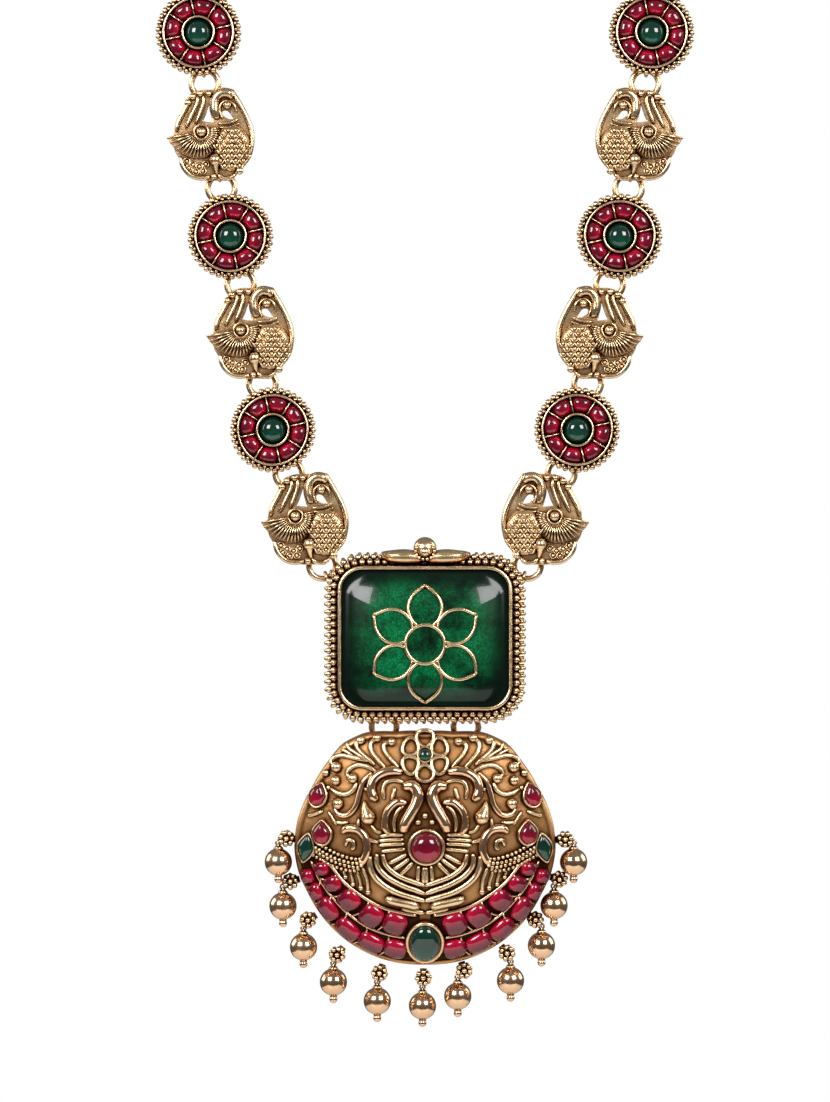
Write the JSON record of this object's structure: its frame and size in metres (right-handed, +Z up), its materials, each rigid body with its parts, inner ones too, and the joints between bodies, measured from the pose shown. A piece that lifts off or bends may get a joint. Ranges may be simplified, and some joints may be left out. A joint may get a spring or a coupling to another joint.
{
  "type": "temple jewellery necklace",
  "caption": "Antique-gold temple necklace: peacock links and ruby discs carry an enamelled plaque and a domed pendant fringed with ball drops, closed by a plain chain.",
  "frame": {"origin": "middle of the clasp at the nape, where the necklace hangs on a neck", "axes": "+Z up, the pendant's face looks along -Y, +X to the viewer's right"},
  "size_m": [0.1278, 0.1237, 0.2871],
  "materials": {
    "antique_gold": "antique gold with dark recesses",
    "polished_gold": "polished rosy gold",
    "ruby": "polished ruby cabochon",
    "emerald": "polished emerald cabochon",
    "green_enamel": "translucent green enamel over foil"
  },
  "bodies": {
    "necklace": {"plaque_frame": "antique_gold", "plaque_enamel": "green_enamel", "plaque_flower": "antique_gold", "peacock_left_1": "antique_gold", "disc_setting_left_1": "antique_gold", "disc_rubies_left_1": "ruby", "disc_emerald_left_1": "emerald", "peacock_left_2": "antique_gold", "disc_setting_left_2": "antique_gold", "disc_rubies_left_2": "ruby", "disc_emerald_left_2": "emerald", "peacock_left_3": "antique_gold", "disc_setting_left_3": "antique_gold", "disc_rubies_left_3": "ruby", "disc_emerald_left_3": "emerald", "peacock_right_1": "antique_gold", "disc_setting_right_1": "antique_gold", "disc_rubies_right_1": "ruby", "disc_emerald_right_1": "emerald", "peacock_right_2": "antique_gold", "disc_setting_right_2": "antique_gold", "disc_rubies_right_2": "ruby", "disc_emerald_right_2": "emerald", "peacock_right_3": "antique_gold", "disc_setting_right_3": "antique_gold", "disc_rubies_right_3": "ruby", "disc_emerald_right_3": "emerald", "rings_left": "antique_gold", "rings_right": "antique_gold", "chain_left": "antique_gold", "chain_right": "antique_gold", "clasp_hook": "antique_gold"},
    "pendant": {"pendant_rings": "antique_gold", "pendant_shell": "antique_gold", "round_ruby": "ruby", "oval_emerald": "emerald", "flower_emerald": "emerald", "leaf_emerald_left": "emerald", "leaf_emerald_right": "emerald", "teardrop_ruby_upper_left": "ruby", "teardrop_ruby_lower_left": "ruby", "teardrop_ruby_upper_right": "ruby", "teardrop_ruby_lower_right": "ruby", "crescent_rubies_left": "ruby", "crescent_rubies_right": "ruby", "ball_drop_1": "polished_gold", "ball_drop_2": "polished_gold", "ball_drop_3": "polished_gold", "ball_drop_4": "polished_gold", "ball_drop_5": "polished_gold", "ball_drop_6": "polished_gold", "ball_drop_7": "polished_gold", "ball_drop_8": "polished_gold", "ball_drop_9": "polished_gold", "ball_drop_10": "polished_gold", "ball_drop_11": "polished_gold"}
  },
  "joints": [
    {"name": "pendant_swing", "type": "hinge", "parent": "necklace", "child": "pendant", "pos_m": [0, -0.1127, -0.22025], "axis": [1, 0, 0], "range_deg": [-30, 50]}
  ]
}
